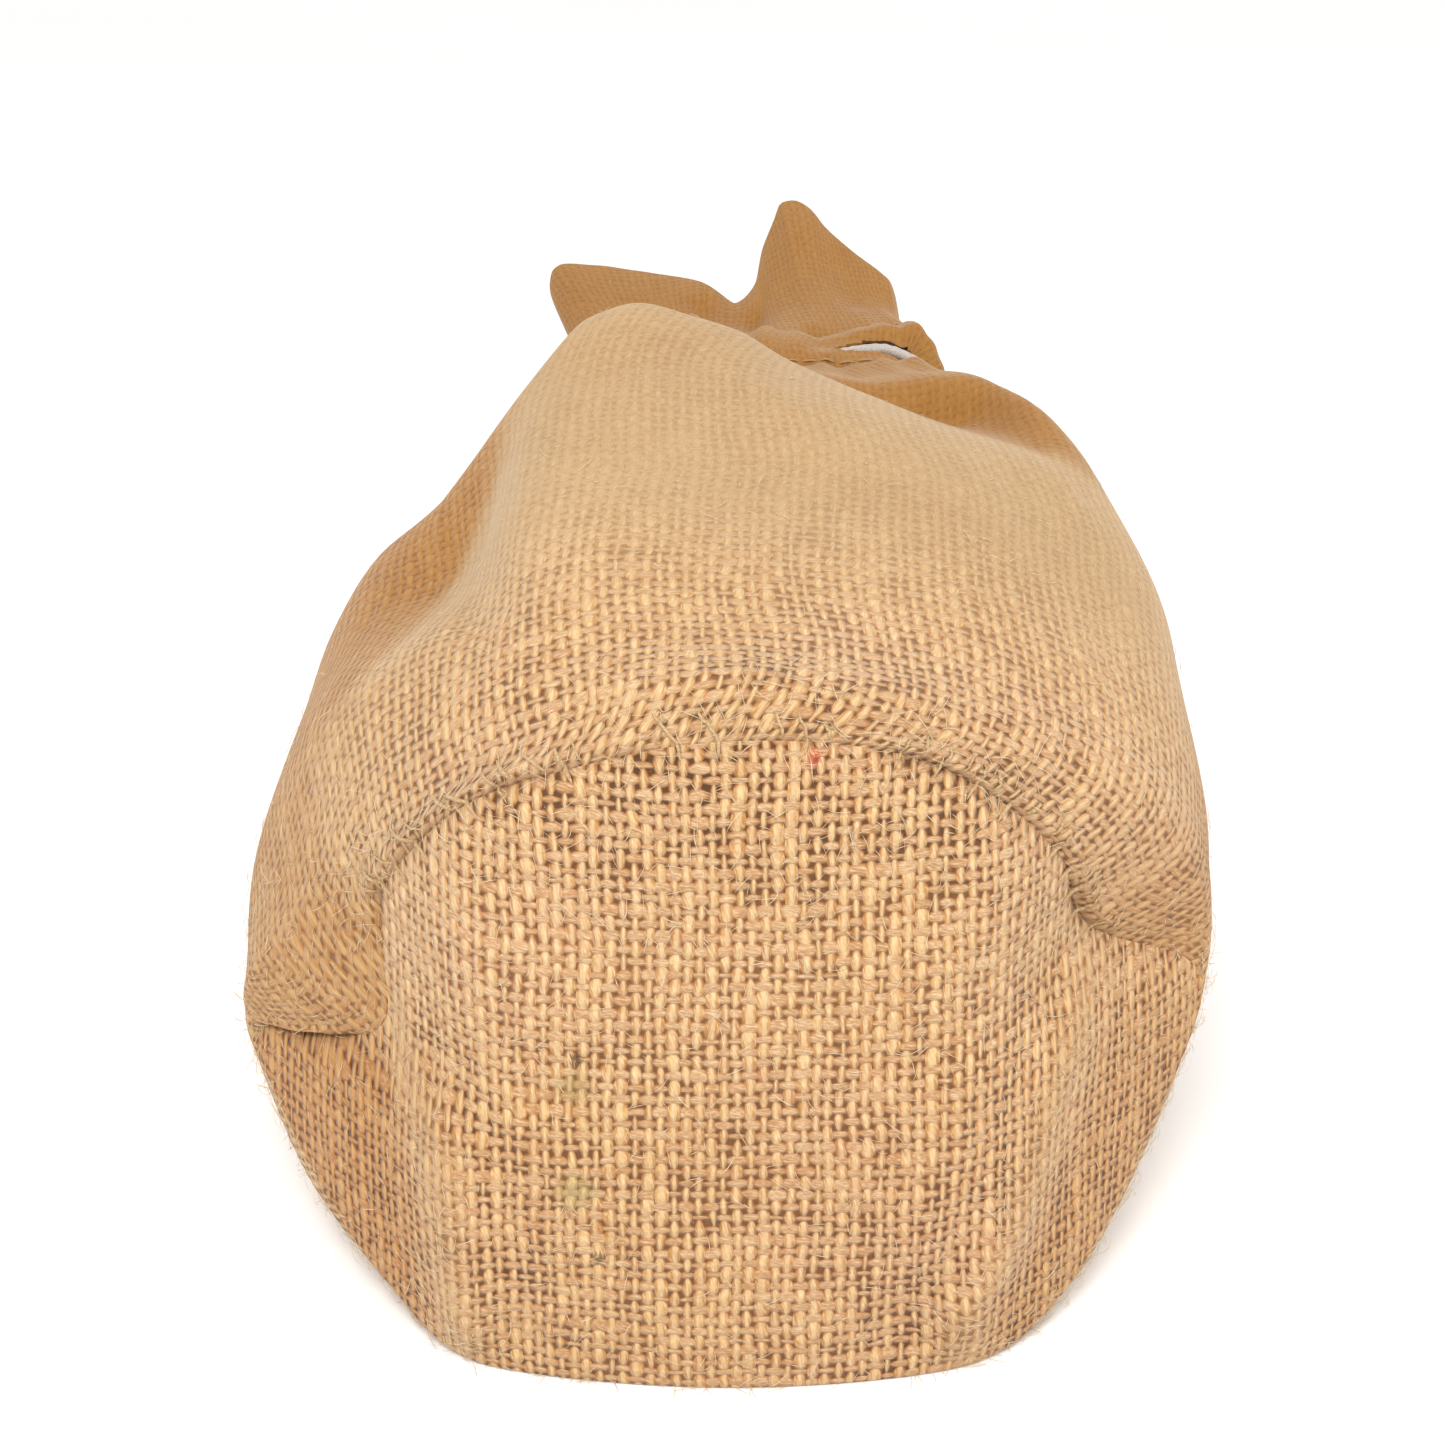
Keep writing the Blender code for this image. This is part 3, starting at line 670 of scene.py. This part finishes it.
SHOULDER = [(7, 165, 13), (32, 165, 15), (52, 165, 28), (68, 165, 60), (75, 165, 96), (74, 165, 124),
            (64, 165, 146), (34, 168, 145), (0, 166, 154), (-26, 165, 154), (-44, 165, 126),
            (-54, 165, 110), (-60, 165, 84), (-54, 165, 56), (-38, 165, 28), (-18, 165, 15)]
GATHERS = [(6.5, 185, 30), (30, 185, 31), (48, 185, 41), (60, 185, 64), (64, 185, 94), (63, 185, 120),
           (55, 185, 142), (30, 185, 142), (4, 185, 147), (-21, 185, 145), (-38, 185, 128), (-47, 185, 108),
           (-50, 185, 86), (-46, 185, 61), (-34, 185, 41), (-14, 185, 31)]
NECK = [(5.5, 202, 47), (27, 202, 48.5), (44, 202, 57), (53, 202, 74), (54.5, 202, 94), (54, 202, 116),
        (49.5, 202, 141), (28, 202, 140), (5, 202, 140), (-17, 202, 139), (-33, 202, 131),
        (-41.5, 202, 113), (-43, 202, 93), (-41.5, 202, 74), (-33, 202, 57), (-16, 202, 48.5)]
RINGS = [SEAM, RIDGE, BEHIND, FRONT, MIDDLE, BACK, CREST, VALLEY, SHOULDER, GATHERS, NECK]
# How far along the sack each ring counts as lying, and how many rows lead to the next ring.
STATIONS = [0, 7, 20, 45, 80, 112, 135, 146, 157, 178, 196]
ROWS = [16, 8, 12, 16, 16, 12, 7, 7, 11, 9]
AROUND = 400             # columns of the grid
NECK_MIDDLE = (5.5, 0.0, 94.0)
CHANNEL_ROWS = 26
CHANNEL_LENGTH = 26.0
CHANNEL_BULGE = 4.4
FRILL_ROWS = 26

# The mouth's edge: place around, then the point.
MOUTH = [(0.0, 5, 268, 40), (0.7, 22, 283, 32), (1.5, 36, 269, 43), (2.2, 50, 284, 45), (3.0, 53, 267, 69),
         (3.7, 64, 278, 82), (4.4, 54, 262, 99), (5.1, 51, 264, 122), (5.45, 48, 259, 134),
         (5.7, 46.8, 258, 142), (5.85, 45.6, 259, 147), (6.0, 43.5, 262, 149), (6.3, 36.9, 272, 152.1),
         (6.6, 28.7, 284, 156.8), (6.8, 23.9, 291, 161.1), (6.9, 20.5, 293, 162.4),
         (7.05, 17.5, 293, 161.9), (7.15, 15.9, 291, 158.5), (7.4, 12.5, 284, 151.8),
         (7.6, 10.9, 277, 146.4), (7.7, 9.8, 270, 144.0), (8.0, 4.5, 263.5, 140.2), (8.1, 3.2, 263, 140.0),
         (8.2, 2.0, 263.5, 140.4), (8.55, -7, 270, 144.7), (8.8, -14.1, 273, 145.2),
         (9.2, -25.9, 279, 145.6), (9.6, -37.8, 284, 145.9), (9.9, -45.8, 286, 145.6),
         (10.0, -48.2, 285.5, 144), (10.15, -48.6, 283, 141.2), (10.3, -47.5, 279, 138),
         (10.6, -43, 272, 130), (11.2, -47, 278, 113), (12.0, -46, 265, 92), (12.8, -54, 283, 72),
         (13.6, -46, 266, 58), (14.4, -39, 284, 37), (15.2, -16, 268, 43)]
# Folds of the frill and channel: place around, first y, last y, depth, half width in sixteenths.
CREASES = [(8.5, 236, 264, 2.6, 0.12), (7.78, 226, 258, 2.4, 0.13), (7.15, 204, 236, 2.6, 0.13),
           (9.4, 232, 262, 1.2, 0.16), (6.5, 240, 276, 0.9, 0.14)]


def mouth_edge(count):
    """The frill's outer edge, a closed curve of count points."""
    placed = wrapped(np.array(MOUTH, float))
    return along(placed[:, 0], placed[:, 1:], np.arange(count) * TURN / count)


def sack_grid():
    """Rows of the tube from the seam to the mouth's edge, and each neck point's outward direction."""
    rings = np.array([ring(r, AROUND) for r in RINGS])
    stops = []
    for k, steps in enumerate(ROWS):
        stops += list(np.linspace(STATIONS[k], STATIONS[k + 1], steps, endpoint=False))
    body = along(STATIONS, rings, stops + [STATIONS[-1]])
    body[..., 2] = np.maximum(body[..., 2], 0.0)
    neck = body[-1]
    outward = (neck - NECK_MIDDLE) * (1, 0, 1)
    outward /= np.linalg.norm(outward, axis=-1, keepdims=True)
    rows = [body]
    for t in np.linspace(0, 1, CHANNEL_ROWS + 1)[1:]:
        bulge = CHANNEL_BULGE * (1 - (2 * t - 1) ** 2) ** 0.7
        rows.append((neck + outward * bulge + (0, CHANNEL_LENGTH * t, 0))[None])
    start = rows[-1][0]
    edge = mouth_edge(AROUND)
    for t in np.linspace(0, 1, FRILL_ROWS + 1)[1:]:
        lift = outward * 3.0 * math.sin(math.pi * t) ** 2
        rows.append((start + (edge - start) * (0.12 * t + 0.88 * t**1.25) * (1, 0, 1)
                     + (edge - start) * t * (0, 1, 0) - lift)[None])
    return np.concatenate(rows), outward, len(body) - 1


def normals(grid):
    """Directions out of a tube's grid at its points."""
    rise = np.gradient(grid, axis=0)
    turn = (np.roll(grid, -1, axis=1) - np.roll(grid, 1, axis=1)) / 2
    n = np.cross(turn, rise)
    n /= np.maximum(np.linalg.norm(n, axis=-1, keepdims=True), 1e-9)
    return n if (n[20] * (grid[20] - grid[20].mean(0))).sum() > 0 else -n


grid, outward, neck_row = sack_grid()
facing = normals(grid)
place = np.arange(AROUND) * TURN / AROUND
phase = place * 2 * math.pi / TURN
at_slit = hump(place, 5.98, 0.75)
y = grid[..., 1].copy()
rise = np.linalg.norm(np.diff(grid, axis=0), axis=-1)
from_seam = np.concatenate([np.zeros((1, AROUND)), np.cumsum(rise, 0)])

# The seam is pulled in, and the cloth above it rolls out in a welt.
inward = (BASE_MIDDLE - grid[0]) * (1, 0, 1)
inward /= np.linalg.norm(inward, axis=-1, keepdims=True)
upper_seam = ease(place, 4.7, 5.2) * (1 - ease(place, 10.9, 11.2))
pleat_seam = ease(place, 11.75, 12.0) * (1 - ease(place, 12.45, 12.7))
uneven = 1 - 0.45 * hump(place, 8.1, 1.2) + 0.30 * np.sin(7 * phase + 1.0) + 0.25 * np.sin(19 * phase)
seam_depth = 0.12 + (1.8 * upper_seam + 1.9 * pleat_seam) * uneven
seam_sink = seam_depth[:, None] * (0.35 * inward + np.array([0.0, 0.94, 0.0]))
sink_share = np.clip(1 - from_seam / 2.8, 0, 1) ** 2
welt_share = (0.75 * upper_seam + 0.9 * pleat_seam) * uneven
welt = np.sin(math.pi * np.clip(from_seam / 5.6, 0, 1)) ** 2
# Gathers: the cloth folds into pleats at the neck, and they fade out in the frill.
pleats = (np.cos(31 * phase + 1.1 * np.sin(3 * phase)) * 0.65
          + 0.5 * np.cos(47 * phase + 2.0 * np.sin(2 * phase + 1)))
pleat_share = ease(y, 160, 202) * (1 - 0.93 * ease(y, 222, 250)) * (1 - 0.5 * hump(place, 6.8, 1.0))
# Broad soft unevenness of the stuffed cloth.
wave = np.zeros(y.shape)
for _ in range(26):
    turns, rate = rng.integers(1, 9), rng.uniform(0.01, 0.07)
    wave += rng.normal() * np.cos(turns * phase[None, :] + rate * y + rng.uniform(0, 6.3)) / (1 + turns / 3)
push = (1.1 + welt * welt_share + pleats * pleat_share * 1.15
        + wave * 0.28 * ease(y, 20, 60) * (1 - ease(y, 150, 200)))
# The channel is pressed in at the slit, under the cord.
push -= 6.6 * at_slit * ease(y, 197, 206) * (1 - ease(y, 213, 217))
for fold, low, high, dip, half_width in CREASES:
    push -= dip * hump(place, fold, half_width) * ease(y, low, low + 8) * (1 - ease(y, high - 8, high))
grid = grid + facing * push[..., None] + seam_sink * sink_share[..., None]
grid[..., 2] = np.maximum(grid[..., 2], 0.0)


def cloth_coordinates(grid):
    """Yarn numbers around and along each point: u counts warp yarns, v counts weft yarns."""
    rows_near, columns_near = 6, 20
    closed = np.concatenate([grid, grid[:, :1]], 1)
    steps = np.linalg.norm(np.diff(closed, axis=1), axis=-1)
    u = np.concatenate([np.zeros((len(grid), 1)), np.cumsum(steps, 1)], 1)
    u = u / u[:, -1:] * COLUMNS
    smooth_u = np.array([u[max(0, k - rows_near): k + rows_near + 1].mean(0) for k in range(len(grid))])
    rise = np.linalg.norm(np.diff(closed, axis=0), axis=-1)
    v = np.concatenate([np.zeros((1, closed.shape[1])), np.cumsum(rise, 0)], 0) / PITCH
    kernel = np.hanning(2 * columns_near + 1)
    kernel /= kernel.sum()
    wide = np.concatenate([v[:, -columns_near - 1:-1], v[:, :-1], v[:, :columns_near + 1]], 1)
    smooth_v = np.array([np.convolve(row, kernel, "valid") for row in wide])
    return np.stack([smooth_u, smooth_v], -1)


# How soft and loose the cloth looks, and where shade is painted on it. A fold runs back along the
# sack's left shoulder, with a recess behind it, and a patch low on the left is folded in at the seam.
depth = grid[..., 1]
patch = ease(place, 10.9, 11.2) * (1 - ease(place, 12.2, 12.5)) * (1 - ease(depth, 46, 60))
fold_edge = 9.35 + 0.6 * (1 - ease(depth, 80, 112)) + 0.45 * (1 - ease(depth, 50, 80))
past_fold = place - fold_edge
recess = ease(past_fold, -0.10, 0.14) * (1 - ease(past_fold, 0.35, 1.5)) * ease(depth, 72, 94)
left_flank = (ease(past_fold, -0.10, 0.35) * (1 - ease(place, 11.9, 12.9)) * ease(depth, 44, 66)
              * (1 - ease(depth, 120, 165)))
right_flank = hump(place, 4.6, 0.9) * ease(depth, 12, 46) * (1 - ease(depth, 100, 160))
# Past this line painted shade darkens the cloth, growing over this width.
far_line = np.interp(place, [0, 4.4, 5.4, 5.8, 6.3, 6.9, 7.3, 9.6, 10.6, 16],
                     [55, 62, 96, 113, 121, 128, 146, 148, 80, 55])
far_width = np.interp(place, [0, 4.4, 5.4, 5.8, 6.3, 9.6, 10.6, 16], [120, 110, 46, 18, 9, 9, 90, 120])
far_side = ease(depth - far_line, 0, far_width)
soft = 0.10 + 0.90 * ease(depth, 16, 88)
soft = np.maximum(soft * (1 - 0.35 * left_flank - 0.3 * right_flank), 0.35 * patch)
# Painted shade: on the cloth's far side, on the left flank and in the recess, on the right flank and on the
# folded-in patch.
shade = np.maximum(far_side, 0.84 * left_flank + 0.30 * recess) + 0.50 * right_flank + 0.50 * patch
shade = np.clip(shade, 0, 1)
loose = 0.45 * ease(depth, 60, 15)


def in_slit(face):
    """Whether a face is in the slit that the tails leave by, or in the hole beside it."""
    x, y, z = face.calc_center_median() / MM
    y -= BASE_Y
    top = z > 127 and ((x - 43.0) / 14.0) ** 2 + ((y - 210.9) / 3.0) ** 2 < 1
    side = x > 50 and ((z - 131.5) / 5.5) ** 2 + ((y - 219.0) / 2.6) ** 2 < 1
    return top or side


cloth = cloth_piece("sack_cloth", grid, cloth_coordinates(grid), hole=(neck_row, in_slit),
                    soft=soft, shade=shade, loose=loose)

# The channel's inner layer, which shows through the slit, in full painted shade: the neck's ring, smoothed
# and carried on.
lining_depth = (3.3 + 0.8 * at_slit)[:, None]
lining_ring = np.mean([np.roll(grid[neck_row], shift, axis=0) for shift in range(-6, 7)], axis=0)
lining_rows = np.array([lining_ring * (1, 0, 1) - outward * (lining_depth + 1.4 * ease(t, 20, 34))
                        + (0, 203.0 + t, 0) for t in np.linspace(0, 34, 18)])
lining = cloth_piece("channel_lining", lining_rows, cloth_coordinates(lining_rows),
                     soft=0.9, shade=1.0, loose=0.0)


# -------------------- the base
# Its two soft ridges: heights, and x at each. Its rings shrink by shares from the rim to the middle.
LEFT_RIDGE = ([0, 20, 50, 60, 75, 95], [-50, -52, -55, -64, -72, -80])
RIGHT_RIDGE = ([10, 17, 21, 35, 51, 60, 80], [46, 47.5, 52, 59, 64, 67, 76])
SHARES = np.linspace(1.0, 0.0, 96) ** 0.92


def base_grid():
    """Rings from the seam to the middle, and each point's distance from the base's soft ridges."""
    rim = grid[0] - seam_sink
    out, near = [], []
    for s in SHARES:
        x = BASE_MIDDLE[0] + (rim[:, 0] - BASE_MIDDLE[0]) * s
        z = BASE_MIDDLE[2] + (rim[:, 2] - BASE_MIDDLE[2]) * s
        gap = rim[:, 1] - lean(rim[:, 0], rim[:, 2])
        y = lean(x, z) - 3.0 * (1 - s**2) - 1.1 * (1 - s**6) + gap * s**3
        left, right = np.interp(z, *LEFT_RIDGE), np.interp(z, *RIGHT_RIDGE)
        ridge = np.minimum(abs(x - left), abs(x - right))
        rise = 2.3 * hump(ridge, 0, 5.0) - 1.4 * hump(ridge, 12, 5.5)
        y -= rise * (1 - ease(z, 62, 85)) * (1 - ease(s, 0.86, 0.98))
        inset = (1 - s) * np.linalg.norm((rim - BASE_MIDDLE) * (1, 0, 1), axis=-1)
        sink = np.clip(1 - inset / 3.6, 0, 1) ** 2
        out.append(np.stack([x, y, z], -1) + seam_sink * sink[:, None])
        near.append(ridge)
    return np.array(out), np.array(near)


base, ridge_distance = base_grid()
closed_base = np.concatenate([base, base[:, :1]], 1)
base_uv = np.stack(base_yarns(closed_base[..., 0], closed_base[..., 2]), -1)
base_x, base_z = base[..., 0], base[..., 2]
low_part = 1 - ease(base_z, 58, 84)
base_soft = 0.42 * hump(ridge_distance, 0, 4.0) * low_part
base_loose = 0.7 * ease(base_z, 84, 110)
base_loose += 0.22 * low_part + 0.40 * low_part * hump(ridge_distance, 12, 8.0)
base_loose = np.clip(base_loose - 0.8 * hump(ridge_distance, 0, 3.5) * low_part, 0, 1)
# Painted shade on the lower base outside its two ridges, stronger on the left, and a little everywhere low
# down.
lower = 1 - ease(base_z, 46, 74)
outside_left = ease(np.interp(base_z, *LEFT_RIDGE) - base_x, 0, 13)
outside_right = ease(base_x - np.interp(base_z, *RIGHT_RIDGE), 0, 15)
base_shade = (0.66 * outside_left + 0.36 * outside_right + 0.10) * lower
base_cloth = cloth_piece("base_cloth", base, base_uv, flip=False,
                         soft=base_soft, shade=base_shade, loose=base_loose)

# The seam's raw edges, turned in, with some painted shade.
edge_way = 0.42 * inward + np.array([0.0, 0.91, 0.0])
band_rows = np.array([grid[0] + edge_way * d for d in np.linspace(1.6, 10.5, 8)])
band_rows[..., 2] = np.maximum(band_rows[..., 2], 1.4)
seam_band = cloth_piece("seam_edges", band_rows, cloth_coordinates(band_rows), thickness=2.2,
                        soft=0.2, shade=0.3, loose=0.4)


# -------------------- stitches, yarns and fibres
def stitches(name, line, out, every, covers, radius):
    """A row of stitches along a closed line of points, each dipping into the cloth at its ends."""
    parts = []
    for start in range(0, len(line) - covers, every):
        way = np.array([line[(start + k) % len(line)] for k in range(covers + 1)])
        lift = np.sin(np.linspace(0, math.pi, covers + 1))
        parts.append(tube(way + out[start] * (lift[:, None] * 0.7 - 0.2), radius, sides=6))
    return join(name, parts, thread)


def channel_stitches(name, share):
    """A row of stitches around the channel, at a share of its length."""
    row = neck_row + int(round(share * CHANNEL_ROWS))
    return stitches(name, grid[row], facing[row], every=5, covers=4, radius=0.27)


lower_stitches = channel_stitches("channel_stitches_lower", 0.05)
upper_stitches = channel_stitches("channel_stitches_upper", 0.95)
seam_stitches = stitches("base_stitches", band_rows[4], -inward, every=4, covers=3, radius=0.4)


def welt_yarns():
    """Yarns that wrap over the welt. Those at odd columns start on the base."""
    wraps = []
    for column in range(int(AROUND * 4.9 / TURN), int(AROUND * 11.0 / TURN), 3):
        if rng.uniform() < 0.35:
            continue
        slant = rng.uniform(0.1, 0.75)
        reach = rng.uniform(3.5, 6.5)
        way = []
        if column % 2:
            lifted = grid[0, column] - 0.75 * seam_sink[column]
            way = [base[4, column] - (0, 0.10, 0), base[2, column] - (0, 0.45, 0), lifted - (0, 0.45, 0)]
        for d in np.linspace(0.4, reach, 9):
            c = (column + slant * d * 0.8) % AROUND
            c0 = int(c)
            share = c - c0
            row = np.searchsorted(from_seam[:, c0], d)
            near = grid[row, c0] * (1 - share) + grid[row, (c0 + 1) % AROUND] * share
            way.append(near + facing[row, c0] * (0.55 * math.sin(math.pi * d / (reach + 0.6)) - 0.12))
        wraps.append(tube(smooth_route(way, 0.7), rng.uniform(0.22, 0.48), sides=8, strands=2, twist=3.2,
                          taper=True))
    return wraps


seam_wraps = join("seam_wraps", welt_yarns(), jute_yarn)


def hairs(name, points, facings, weights, count, shortest, longest, lift):
    """Loose fibres: thin curved tubes that start on the cloth and lie along it or stand off it.

    Where weights are larger more of them start, and most rise by less than lift of their length.
    """
    flat_points, flat_facings = points.reshape(-1, 3), facings.reshape(-1, 3)
    share = weights.ravel() / weights.sum()
    parts = []
    for index in rng.choice(len(flat_points), count, p=share):
        out = flat_facings[index]
        way = np.cross(out, rng.normal(size=3))
        way /= np.linalg.norm(way)
        bend = np.cross(out, way) * rng.uniform(-0.5, 0.5)
        size = rng.uniform(shortest, longest)
        rise = rng.uniform(0.05, lift) if rng.uniform() < 0.8 else rng.uniform(lift, 2.5 * lift)
        start = flat_points[index] + out * 0.15
        steps = np.linspace(0, 1, 6)[:, None]
        path = start + size * (way * steps + bend * steps**2 + out * rise * np.sin(steps * math.pi * 0.75))
        path[:, 2] = np.maximum(path[:, 2], 0.15)
        parts.append(tube(path, rng.uniform(0.035, 0.085), sides=3, taper=True))
    return join(name, parts, fibre)


cloth_out = normals(grid)
spacing = np.linalg.norm(np.diff(np.concatenate([grid, grid[:, :1]], 1), axis=1), axis=-1)
weight = spacing * (0.35 + 2.6 * hump(from_seam, 4, 9) + 1.6 * hump(place, 11.5, 0.9) * (depth < 75)
                    + 0.4 * hump(place, 4, 0.7)) * (depth < 90)
tube_hairs = hairs("sack_fibres", grid, cloth_out, weight, count=1500, shortest=1.8, longest=6.0, lift=0.16)
crest_weight = spacing * ease(depth, 40, 90) * (1 - ease(depth, 150, 156)) * (facing[..., 2] > 0.2)
shoulder_hairs = hairs("shoulder_fibres", grid, cloth_out, crest_weight, count=160, shortest=1.0,
                       longest=2.6, lift=0.15)
base_weight = SHARES[:, None] * (0.6 + 1.2 * hump(ridge_distance, 0, 5) * low_part
                                 + 0.9 * ease(base_z, 80, 110))
base_out = normals(base)
if base_out[10, 0, 1] > 0:      # the base faces -y
    base_out = -base_out
base_hairs = hairs("base_fibres", base, base_out, base_weight, count=1500, shortest=1.5, longest=5.5,
                   lift=0.15)

# -------------------- riding and replacing
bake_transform(cloth)
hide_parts("body_panel", "neck_gathers", "casing_outer", "mouth_ruffle", "mouth_facing")
for piece, body, nodes in (
        (lining, "neck", ["casing_inner"]), (lower_stitches, "neck", ["casing_lower_stitching"]),
        (upper_stitches, "neck", ["casing_upper_stitching"]), (base_cloth, "sack", ["base_panel"]),
        (seam_band, "sack", ["base_seam_allowance"]), (seam_stitches, "sack", ["base_seam_stitching"]),
        (seam_wraps, "sack", []), (tube_hairs, "sack", []), (shoulder_hairs, "sack", []),
        (base_hairs, "sack", [])):
    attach(piece, body)
    if nodes:
        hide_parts(*nodes)

# CAD nodes that nothing replaces keep their own shapes, in these materials.
FINISHES = {"hessian": jute_edge, "sewing_thread": thread, "cotton_cord": cotton}
slots = {s["node"]: s["material_slot"] for s in frame["record"]["subparts"]}
for name, node in frame["nodes"].items():
    if not node.hide_render:
        node.data.materials.clear()
        node.data.materials.append(FINISHES[slots[name]])

# -------------------- floor and light
PAPER_DARK = (0.925, 0.925, 0.925)
PAPER_LIGHT = (0.94, 0.94, 0.94)
SKY = (1.0, 0.99, 0.98, 1.0)
SKY_STRENGTH = 1.06

floor_mesh = bpy.data.meshes.new("floor")
floor_mesh.from_pydata([(-6, -4, 0), (6, -4, 0), (6, 9, 0), (-6, 9, 0)], [], [(0, 1, 2, 3)])
floor = link("floor", floor_mesh)
floor.location.z = -0.0004
paper = Graph("paper")
paper_place = paper.tree.nodes.new("ShaderNodeTexCoord").outputs["Object"]
paper_tone = paper.ramp(paper.noise(paper_place, 3.0, 2.0), 0.3, 0.7)
paper_colour = paper.mix(paper_tone, PAPER_DARK, PAPER_LIGHT)
floor_mesh.materials.append(paper.finish(paper_colour, roughness=0.9, sheen=0.0))

sky = bpy.data.worlds.new("studio")
bpy.context.scene.world = sky
sky.use_nodes = True
sky.node_tree.nodes["Background"].inputs["Color"].default_value = SKY
sky.node_tree.nodes["Background"].inputs["Strength"].default_value = SKY_STRENGTH


def area_light(name, place, target, size, power, colour=(1, 1, 1)):
    """A square lamp at a place, turned to a target, both in metres."""
    lamp = bpy.data.lights.new(name, "AREA")
    lamp.size = size
    lamp.energy = power
    lamp.color = colour
    piece = bpy.data.objects.new(name, lamp)
    bpy.context.scene.collection.objects.link(piece)
    piece.location = place
    piece.rotation_euler = (Vector(target) - Vector(place)).to_track_quat("-Z", "Y").to_euler()


area_light("key", (-0.10, -0.62, 0.78), (0, -0.05, 0.08), size=0.35, power=5.6, colour=(1.0, 0.98, 0.95))
area_light("side", (0.9, -0.6, 0.6), (0, 0, 0.08), size=0.4, power=2.0)
